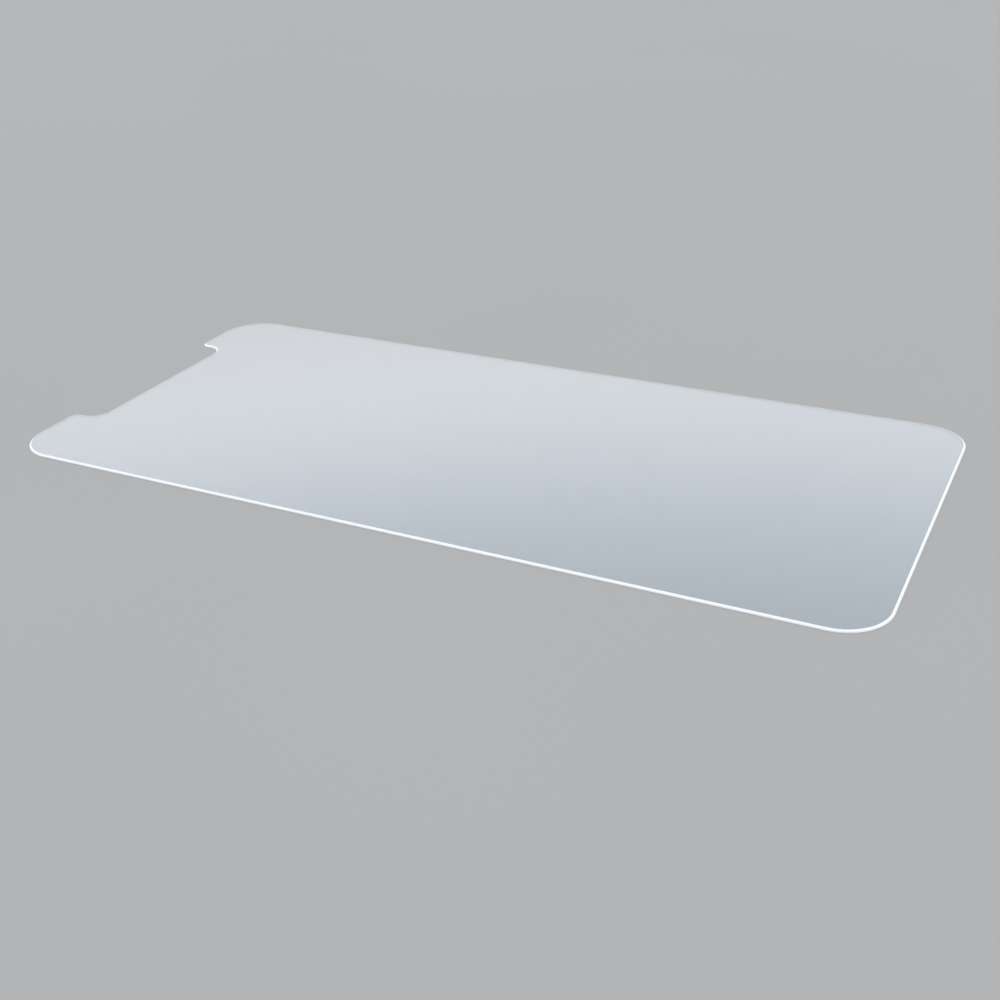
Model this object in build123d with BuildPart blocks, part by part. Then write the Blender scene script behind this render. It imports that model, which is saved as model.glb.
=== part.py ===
from build123d import *

import os

# Phone screen protector: one sheet of tempered glass with rounded corners and a notch in one short end.
# The sheet lies face up on z = 0, with its length along X, its width along Y and the notched end at -X.

# The sheet, in millimetres
sheet_length = 139.6
sheet_width = 65.0
glass_thickness = 0.33
corner_radius = 7.0

# The notch in the middle of one short end, which leaves an ear on each side
notch_width = 34.8
notch_depth = 5.0
notch_root_radius = 3.0
ear_tip_radius = 1.3

# The ground edge: a crown that falls from the upper face, an upright land below it and a fine lower arris
crown_run = 0.35
edge_land = 0.13
arris = 0.04

# The shortest straight stretch left between two roundings of the outline
least_straight = 0.1

notched_end = -sheet_length / 2
ear_width = (sheet_width - notch_width) / 2
corner_rounding = min(corner_radius, ear_width - ear_tip_radius - least_straight)
root_rounding = min(notch_root_radius, notch_depth - ear_tip_radius - least_straight)
crown_drop = glass_thickness - edge_land
crown_radius = (crown_run**2 + crown_drop**2) / (2 * crown_drop)

with BuildPart() as glass_sheet:
    # The blank as it is cut from the pane
    with BuildSketch() as outline:
        RectangleRounded(sheet_length, sheet_width, corner_rounding)
        with Locations((notched_end, 0)):
            Rectangle(2 * notch_depth, notch_width, mode=Mode.SUBTRACT)
        notch_roots = outline.vertices(Select.LAST).sort_by(Axis.X)[-2:]
        fillet(notch_roots, root_rounding)
        ear_tips = outline.vertices().group_by(Axis.X)[0].sort_by(lambda corner: abs(corner.Y))[:2]
        fillet(ear_tips, ear_tip_radius)
    extrude(amount=glass_thickness)

    # A profiled wheel follows the rim, ears and notch included, and leaves an arc that is tangent to the face
    rim = glass_sheet.faces().sort_by(Axis.Z)[-1].outer_wire()
    rim_direction = rim % 0
    outward = rim_direction.cross(Axis.Z.direction)
    with BuildSketch(Plane(rim @ 0, x_dir=outward, z_dir=-rim_direction)) as wheel_profile:
        with BuildLine():
            crown_start = (-crown_run, 0)
            crown_end = (0, -crown_drop)
            RadiusArc(crown_start, crown_end, crown_radius)
            Polyline(
                crown_end,
                (crown_run, -crown_drop),
                (crown_run, crown_drop),
                (-crown_run, crown_drop),
                crown_start,
            )
        make_face()
    sweep(path=rim, mode=Mode.SUBTRACT)

    # The lower arris keeps the cut edge from chipping
    underside = glass_sheet.faces().sort_by(Axis.Z)[0]
    chamfer(underside.edges(), arris)

glass_sheet.part.label = "glass_sheet"

os.makedirs("parts", exist_ok=True)
export_step(glass_sheet.part, "parts/glass_sheet.step")
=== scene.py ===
"""Dresses the phone screen protector: one sheet of clear tempered glass, lying on a pale studio floor."""

import math

import bpy
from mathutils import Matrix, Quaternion, Vector


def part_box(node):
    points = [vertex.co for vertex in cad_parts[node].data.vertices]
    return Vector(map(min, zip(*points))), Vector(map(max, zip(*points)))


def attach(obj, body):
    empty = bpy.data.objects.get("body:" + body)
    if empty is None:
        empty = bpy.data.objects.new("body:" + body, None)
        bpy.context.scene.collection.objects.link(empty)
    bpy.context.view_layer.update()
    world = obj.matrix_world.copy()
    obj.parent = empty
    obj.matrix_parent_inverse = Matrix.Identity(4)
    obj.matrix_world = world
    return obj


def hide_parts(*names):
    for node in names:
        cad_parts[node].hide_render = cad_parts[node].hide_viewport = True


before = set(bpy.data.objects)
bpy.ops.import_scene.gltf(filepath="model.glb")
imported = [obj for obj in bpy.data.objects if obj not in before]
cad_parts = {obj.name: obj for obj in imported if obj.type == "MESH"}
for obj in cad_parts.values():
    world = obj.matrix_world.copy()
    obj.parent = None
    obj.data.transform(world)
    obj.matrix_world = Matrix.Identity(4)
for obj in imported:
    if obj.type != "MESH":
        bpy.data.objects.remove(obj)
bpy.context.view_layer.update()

# The glass sheet
# One pane of toughened aluminosilicate glass, cut with a notch in one short end. It lies loose, face up.
# A profiled wheel has ground its edge all the way round: a crown, an upright land and a fine lower arris.
MM = 0.001
sheet_low, sheet_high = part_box("glass_sheet")
sheet_length, sheet_width, glass_thickness = Vector(sheet_high) - Vector(sheet_low)
corner_radius = 7.0 * MM
notch_width = 34.8 * MM
notch_depth = 5.0 * MM
notch_root_radius = 3.0 * MM
ear_tip_radius = 1.3 * MM
crown_run = 0.35 * MM
edge_land = 0.13 * MM
arris = 0.04 * MM
crown_drop = glass_thickness - edge_land
crown_radius = (crown_run**2 + crown_drop**2) / (2 * crown_drop)
crown_sweep = math.asin(crown_run / crown_radius)


def linear(hex_colour):
    """An sRGB hex colour as linear red, green, blue and alpha."""
    channels = [int(hex_colour[start:start + 2], 16) / 255 for start in (1, 3, 5)]
    return [c / 12.92 if c <= 0.04045 else ((c + 0.055) / 1.055) ** 2.4 for c in channels] + [1.0]


def add_node(tree, kind, feeds=None, **settings):
    """Adds a node with its settings, and feeds its inputs with values or with other nodes' outputs."""
    node = tree.nodes.new(kind)
    for name, value in settings.items():
        setattr(node, name, value)
    for name, source in (feeds or {}).items():
        if isinstance(source, bpy.types.NodeSocket):
            tree.links.new(source, node.inputs[name])
        else:
            node.inputs[name].default_value = source
    return node


def pass_light(material, shader, tone):
    """Lets the light that falls on a glass go straight on to what lies below it, weakened to a tone."""
    tree = material.node_tree
    ray = add_node(tree, "ShaderNodeLightPath").outputs
    falling = add_node(
        tree, "ShaderNodeMath", {0: ray["Is Shadow Ray"], 1: ray["Is Diffuse Ray"]}, operation="MAXIMUM"
    )
    passed = add_node(tree, "ShaderNodeBsdfTransparent", {"Color": linear(tone)})
    surface = add_node(
        tree,
        "ShaderNodeMixShader",
        {0: falling.outputs[0], 1: shader.outputs["BSDF"], 2: passed.outputs["BSDF"]},
    )
    tree.links.new(surface.outputs[0], tree.nodes["Material Output"].inputs["Surface"])


# Drawn glass, fire-polished and toughened: it mirrors more the flatter it is seen, and is clear from above.
# Handling leaves a film that dulls it in patches, and drawing leaves long waves that bend its reflections.
glass_ior = 1.51
film_patch = 9 * MM
wave_length = 24 * MM
wave_height = 0.004 * MM
polished_glass = bpy.data.materials.new("polished_tempered_glass")
polished_glass.use_nodes = True
tree = polished_glass.node_tree
place = add_node(tree, "ShaderNodeTexCoord").outputs["Object"]
film = add_node(tree, "ShaderNodeTexNoise", {"Vector": place, "Scale": 1 / film_patch, "Detail": 3.0})
gloss = add_node(tree, "ShaderNodeMapRange", {"Value": film.outputs["Fac"], "To Min": 0.01, "To Max": 0.05})
waves = add_node(tree, "ShaderNodeTexNoise", {"Vector": place, "Scale": 1 / wave_length, "Detail": 1.0})
ripple = add_node(
    tree, "ShaderNodeBump", {"Height": waves.outputs["Fac"], "Strength": 1.0, "Distance": wave_height}
)
glass = tree.nodes["Principled BSDF"]
glass.inputs["Base Color"].default_value = linear("#f6f9fc")
glass.inputs["Transmission Weight"].default_value = 1.0
glass.inputs["IOR"].default_value = glass_ior
# The film's mean, as one value for the whole face. The film's mean, for an export that
# bakes no pattern
glass.inputs["Roughness"].default_value = 0.03
tree.links.new(gloss.outputs["Result"], glass.inputs["Roughness"])
tree.links.new(ripple.outputs["Normal"], glass.inputs["Normal"])
pass_light(polished_glass, glass, "#f7f8f9")

# The same glass as the wheel leaves it: finely matt, so it scatters light and shows as a white line.
# The wheel's grit is too fine to show, so it is drawn five times as coarse.
grit_size = 0.03 * MM
grit_coarsening = 5
grit_depth = 0.006 * MM
ground_glass = bpy.data.materials.new("fine_ground_glass")
ground_glass.use_nodes = True
tree = ground_glass.node_tree
place = add_node(tree, "ShaderNodeTexCoord").outputs["Object"]
grit_scale = 1 / (grit_coarsening * grit_size)
grit = add_node(tree, "ShaderNodeTexNoise", {"Vector": place, "Scale": grit_scale, "Detail": 2.0})
tone = add_node(tree, "ShaderNodeValToRGB", {"Fac": grit.outputs["Fac"]})
tone.color_ramp.elements[0].color = linear("#f8fcfc")
tone.color_ramp.elements[1].color = linear("#ffffff")
matt = add_node(tree, "ShaderNodeMapRange", {"Value": grit.outputs["Fac"], "To Min": 0.3, "To Max": 0.5})
pits = add_node(
    tree, "ShaderNodeBump", {"Height": grit.outputs["Fac"], "Strength": 1.0, "Distance": grit_depth}
)
edge = tree.nodes["Principled BSDF"]
edge.inputs["Transmission Weight"].default_value = 0.08
edge.inputs["IOR"].default_value = glass_ior
tree.links.new(tone.outputs["Color"], edge.inputs["Base Color"])
tree.links.new(matt.outputs["Result"], edge.inputs["Roughness"])
tree.links.new(pits.outputs["Normal"], edge.inputs["Normal"])
pass_light(ground_glass, edge, "#eef2f2")

# The sheet's rule: an outline gets rounded corners, the wheel's profile follows it, and two faces close it
corner_steps = 32
crown_points = 10
weld_reach = 0.001 * MM
crisp_bend = math.radians(20)
tree = bpy.data.node_groups.new("ground_sheet", "GeometryNodeTree")
tree.interface.new_socket("Geometry", in_out="OUTPUT", socket_type="NodeSocketGeometry")
sizes = {
    "Length": sheet_length,
    "Width": sheet_width,
    "Thickness": glass_thickness,
    "Corner Radius": corner_radius,
    "Notch Width": notch_width,
    "Notch Depth": notch_depth,
    "Root Radius": notch_root_radius,
    "Tip Radius": ear_tip_radius,
    "Crown Run": crown_run,
    "Crown Radius": crown_radius,
    "Crown Sweep": crown_sweep,
    "Land": edge_land,
    "Arris": arris,
}
identifiers = {}
for name in sizes:
    socket = tree.interface.new_socket(name, in_out="INPUT", socket_type="NodeSocketFloat")
    identifiers[name] = socket.identifier
size = add_node(tree, "NodeGroupInput").outputs

# The outline's eight corners, anticlockwise from the front ear
half = {}
minus_half = {}
for name in ("Length", "Width", "Notch Width"):
    for share, result in ((0.5, half), (-0.5, minus_half)):
        product = add_node(tree, "ShaderNodeMath", {0: size[name], 1: share}, operation="MULTIPLY")
        result[name] = product.outputs[0]
plain_end = half["Length"]
notched_end = minus_half["Length"]
notch_root = add_node(
    tree, "ShaderNodeMath", {0: notched_end, 1: size["Notch Depth"]}, operation="ADD"
).outputs[0]
corners = (
    (notched_end, minus_half["Width"], "Corner Radius"),
    (plain_end, minus_half["Width"], "Corner Radius"),
    (plain_end, half["Width"], "Corner Radius"),
    (notched_end, half["Width"], "Corner Radius"),
    (notched_end, half["Notch Width"], "Tip Radius"),
    (notch_root, half["Notch Width"], "Root Radius"),
    (notch_root, minus_half["Notch Width"], "Root Radius"),
    (notched_end, minus_half["Notch Width"], "Tip Radius"),
)
index = add_node(tree, "GeometryNodeInputIndex").outputs["Index"]
corner_places = add_node(tree, "GeometryNodeIndexSwitch", {"Index": index}, data_type="VECTOR")
corner_roundings = add_node(tree, "GeometryNodeIndexSwitch", {"Index": index}, data_type="FLOAT")
for number, (along, across, rounding) in enumerate(corners):
    # A new switch has two items already
    if number > 1:
        corner_places.index_switch_items.new()
        corner_roundings.index_switch_items.new()
    corner = add_node(tree, "ShaderNodeCombineXYZ", {"X": along, "Y": across})
    tree.links.new(corner.outputs["Vector"], corner_places.inputs[str(number)])
    tree.links.new(size[rounding], corner_roundings.inputs[str(number)])
points = add_node(
    tree, "GeometryNodePoints", {"Count": len(corners), "Position": corner_places.outputs["Output"]}
)
path = add_node(tree, "GeometryNodePointsToCurves", {"Points": points.outputs[0]})
loop = add_node(tree, "GeometryNodeSetSplineCyclic", {"Geometry": path.outputs[0], "Cyclic": True})
rounded = add_node(
    tree,
    "GeometryNodeFilletCurve",
    {"Curve": loop.outputs[0], "Count": corner_steps, "Radius": corner_roundings.outputs["Output"]},
    mode="POLY",
)
outline = add_node(tree, "GeometryNodeSetCurveNormal", {"Curve": rounded.outputs[0]}, mode="Z_UP").outputs[0]

# The wheel's profile: its X points out of the sheet, and its Y points down once it is swept
minus = {}
for name in ("Crown Run", "Land", "Arris"):
    minus[name] = add_node(tree, "ShaderNodeMath", {0: size[name], 1: -1.0}, operation="MULTIPLY").outputs[0]
crown_hub = add_node(
    tree, "ShaderNodeMath", {0: size["Crown Radius"], 1: size["Thickness"]}, operation="SUBTRACT"
)
crown_arc = add_node(
    tree,
    "GeometryNodeCurveArc",
    {
        "Resolution": crown_points,
        "Radius": size["Crown Radius"],
        "Start Angle": -math.pi / 2,
        "Sweep Angle": size["Crown Sweep"],
    },
)
crown_place = add_node(tree, "ShaderNodeCombineXYZ", {"X": minus["Crown Run"], "Y": crown_hub.outputs[0]})
crown = add_node(
    tree, "GeometryNodeTransform", {"Geometry": crown_arc.outputs[0], "Translation": crown_place.outputs[0]}
)
land_start = add_node(tree, "ShaderNodeCombineXYZ", {"Y": minus["Land"]})
land_end = add_node(tree, "ShaderNodeCombineXYZ", {"Y": minus["Arris"]})
arris_end = add_node(tree, "ShaderNodeCombineXYZ", {"X": minus["Arris"]})
land = add_node(
    tree, "GeometryNodeCurvePrimitiveLine", {"Start": land_start.outputs[0], "End": land_end.outputs[0]}
)
lower_arris = add_node(
    tree, "GeometryNodeCurvePrimitiveLine", {"Start": land_end.outputs[0], "End": arris_end.outputs[0]}
)
profile = add_node(tree, "GeometryNodeJoinGeometry")
for stretch in (lower_arris, land, crown):
    tree.links.new(stretch.outputs[0], profile.inputs[0])
swept = add_node(tree, "GeometryNodeCurveToMesh", {"Curve": outline, "Profile Curve": profile.outputs[0]})
band = add_node(
    tree,
    "GeometryNodeStoreNamedAttribute",
    {"Geometry": swept.outputs[0], "Name": "ground", "Value": True},
    data_type="BOOLEAN",
    domain="FACE",
)

# The two flat faces end where the crown and the arris start
outward = add_node(tree, "GeometryNodeInputNormal").outputs["Normal"]
fills = {}
for name in ("Crown Run", "Arris"):
    step_in = add_node(tree, "ShaderNodeVectorMath", {0: outward, "Scale": minus[name]}, operation="SCALE")
    rim = add_node(tree, "GeometryNodeSetPosition", {"Geometry": outline, "Offset": step_in.outputs[0]})
    fills[name] = add_node(tree, "GeometryNodeFillCurve", {"Curve": rim.outputs[0]}, mode="NGONS").outputs[0]
lift = add_node(tree, "ShaderNodeCombineXYZ", {"Z": size["Thickness"]})
upper_face = add_node(
    tree, "GeometryNodeTransform", {"Geometry": fills["Crown Run"], "Translation": lift.outputs[0]}
)
lower_face = add_node(tree, "GeometryNodeFlipFaces", {"Mesh": fills["Arris"]})
shells = add_node(tree, "GeometryNodeJoinGeometry")
for shell in (band, upper_face, lower_face):
    tree.links.new(shell.outputs[0], shells.inputs[0])
weld = add_node(tree, "GeometryNodeMergeByDistance", {"Geometry": shells.outputs[0], "Distance": weld_reach})

# The crown runs smoothly into the upper face, and the land and the arris meet in crisp edges
is_ground = add_node(
    tree, "GeometryNodeInputNamedAttribute", {"Name": "ground"}, data_type="BOOLEAN"
).outputs["Attribute"]
smooth = add_node(
    tree,
    "GeometryNodeSetShadeSmooth",
    {"Geometry": weld.outputs[0], "Shade Smooth": is_ground},
    domain="FACE",
)
bend = add_node(tree, "GeometryNodeInputMeshEdgeAngle").outputs["Unsigned Angle"]
crisp = add_node(tree, "FunctionNodeCompare", {"A": bend, "B": crisp_bend}, operation="GREATER_THAN")
shaded = add_node(
    tree,
    "GeometryNodeSetShadeSmooth",
    {"Geometry": smooth.outputs[0], "Selection": crisp.outputs[0], "Shade Smooth": False},
    domain="EDGE",
)
real = add_node(tree, "GeometryNodeRealizeInstances", {"Geometry": shaded.outputs[0]})
polished = add_node(
    tree, "GeometryNodeSetMaterial", {"Geometry": real.outputs[0], "Material": polished_glass}
)
finished = add_node(
    tree,
    "GeometryNodeSetMaterial",
    {"Geometry": polished.outputs[0], "Selection": is_ground, "Material": ground_glass},
)
add_node(tree, "NodeGroupOutput", {0: finished.outputs[0]})

sheet = bpy.data.objects.new("tempered_glass_sheet", bpy.data.meshes.new("tempered_glass_sheet"))
bpy.context.collection.objects.link(sheet)
modifier = sheet.modifiers.new("ground_sheet", "NODES")
modifier.node_group = tree
for name, value in sizes.items():
    modifier[identifiers[name]] = value
evaluated = sheet.evaluated_get(bpy.context.evaluated_depsgraph_get())
sheet.data = bpy.data.meshes.new_from_object(evaluated)
# The tree's mesh starts with an empty slot
sheet.data.materials.pop(index=0)
sheet.modifiers.clear()
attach(sheet, "root")
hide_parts("glass_sheet")

# The floor
# A wide board with matt, pale grey paint, which the sheet lies on.
# It is a hair lower than the sheet, so that the two faces stay apart.
floor_side = 6.0
floor_gap = 0.05 * MM
floor_mesh = bpy.data.meshes.new("floor")
reach = floor_side / 2
floor_corners = [(-reach, -reach), (reach, -reach), (reach, reach), (-reach, reach)]
floor_mesh.from_pydata([(x, y, -floor_gap) for x, y in floor_corners], [], [(0, 1, 2, 3)])
floor = bpy.data.objects.new("floor", floor_mesh)
bpy.context.collection.objects.link(floor)

# Matt paint, rolled on: one even tone with faint clouds, and hardly any gloss
cloud_size = 120 * MM
matt_paint = bpy.data.materials.new("matt_grey_paint")
matt_paint.use_nodes = True
tree = matt_paint.node_tree
place = add_node(tree, "ShaderNodeTexCoord").outputs["Object"]
cloud = add_node(tree, "ShaderNodeTexNoise", {"Vector": place, "Scale": 1 / cloud_size, "Detail": 2.0})
tone = add_node(tree, "ShaderNodeValToRGB", {"Fac": cloud.outputs["Fac"]})
tone.color_ramp.elements[0].color = linear("#aaa9a8")
tone.color_ramp.elements[1].color = linear("#aeadac")
paint = tree.nodes["Principled BSDF"]
paint.inputs["Roughness"].default_value = 0.8
paint.inputs["Specular IOR Level"].default_value = 0.1
tree.links.new(tone.outputs["Color"], paint.inputs["Base Color"])
floor_mesh.materials.append(matt_paint)

# The light
# A white tent all round, as dim as the floor where it meets it, so that no line shows there. It is
# brightest about 23 degrees up, where the glass mirrors it in a low view, and softer overhead.
tent_strength = 2.05
world = bpy.data.worlds.new("tent")
bpy.context.scene.world = world
world.use_nodes = True
tree = world.node_tree
direction = add_node(tree, "ShaderNodeTexCoord").outputs["Generated"]
rise = add_node(tree, "ShaderNodeSeparateXYZ", {"Vector": direction}).outputs["Z"]
glow = add_node(tree, "ShaderNodeValToRGB", {"Fac": rise})
# Each tone stands at the sine of its angle above the floor
tent_tones = (
    (0.0, "#848586"),
    (0.06, "#848586"),
    (0.16, "#c2c3c5"),
    (0.32, "#c2c3c5"),
    (0.39, "#f1f3f5"),
    (0.46, "#cfdae3"),
    (0.53, "#a6b3be"),
    (0.62, "#89949f"),
    (0.8, "#c5c4c4"),
    (1.0, "#d6d4d3"),
)
glow.color_ramp.interpolation = "B_SPLINE"
stops = glow.color_ramp.elements
for sine, _ in tent_tones[1:-1]:
    stops.new(sine)
for stop, (sine, colour) in zip(stops, tent_tones):
    stop.position = sine
    stop.color = linear(colour)
backdrop = tree.nodes["Background"]
backdrop.inputs["Strength"].default_value = tent_strength
tree.links.new(glow.outputs["Color"], backdrop.inputs["Color"])

# The camera, where the photograph was taken from
camera_data = bpy.data.cameras.new("camera")
camera_data.lens = 48.0
camera_data.sensor_width = 36.0
camera_data.clip_start = 0.005
camera_place = Vector((90.4, -171.0, 90.4)) * MM
aim = Vector((11.1, -17.2, 0.0)) * MM
roll = math.radians(-2.0)
camera = bpy.data.objects.new("camera", camera_data)
camera.location = camera_place
turn = (aim - camera_place).to_track_quat("-Z", "Y") @ Quaternion((0.0, 0.0, 1.0), roll)
camera.rotation_euler = turn.to_euler()
bpy.context.collection.objects.link(camera)
bpy.context.scene.camera = camera

bpy.context.scene.view_settings.view_transform = "Standard"
